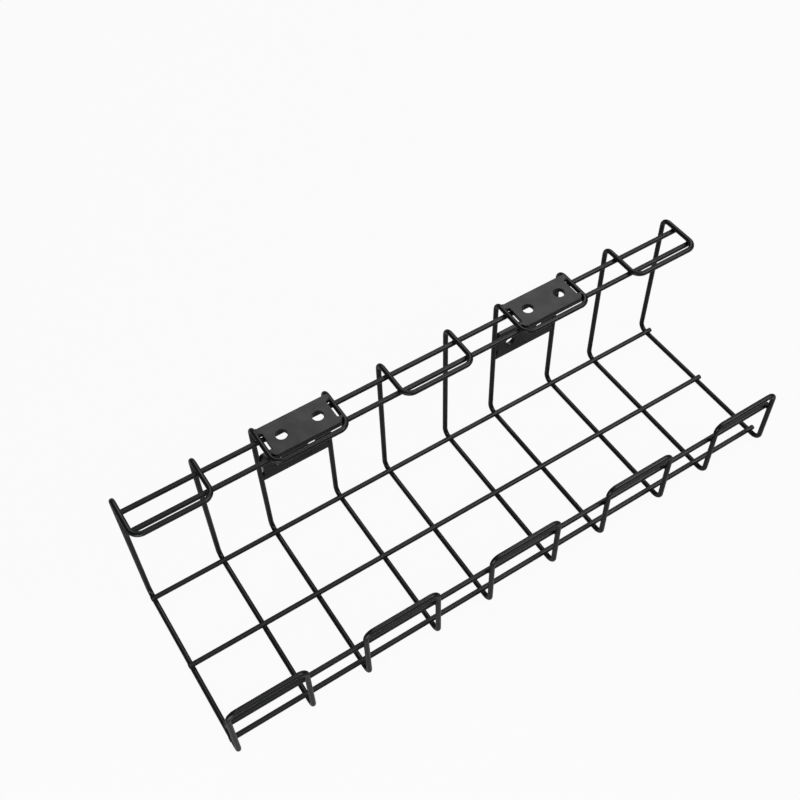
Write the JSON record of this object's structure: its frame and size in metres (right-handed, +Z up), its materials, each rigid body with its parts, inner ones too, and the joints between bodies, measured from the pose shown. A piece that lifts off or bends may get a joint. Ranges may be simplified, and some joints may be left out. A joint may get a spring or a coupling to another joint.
{
  "type": "wire cable tray",
  "caption": "Open tray of welded, powder-coated wire that holds cables under a desk or on a wall; screw plates in its flange and back.",
  "frame": {"origin": "on the standing surface, under the middle of the tray's bounding box", "axes": "+X along the tray, +Y from the lip to the back wall, +Z up from the floor to the flange"},
  "size_m": [0.4, 0.1252, 0.1107],
  "materials": {
    "coated_wire": "black satin powder coat on bent and welded steel wire",
    "coated_plate": "black satin powder coat on stamped steel plate"
  },
  "bodies": {
    "root": {"cross_frame_1": "coated_wire", "cross_frame_2": "coated_wire", "cross_frame_3": "coated_wire", "cross_frame_4": "coated_wire", "cross_frame_5": "coated_wire", "flange_wire_rear": "coated_wire", "flange_wire_front": "coated_wire", "floor_wire_rear": "coated_wire", "floor_wire_middle": "coated_wire", "floor_wire_front": "coated_wire", "lip_wire": "coated_wire", "flange_plate_left": "coated_plate", "flange_plate_right": "coated_plate", "wall_plate_left": "coated_plate", "wall_plate_right": "coated_plate"}
  },
  "joints": []
}
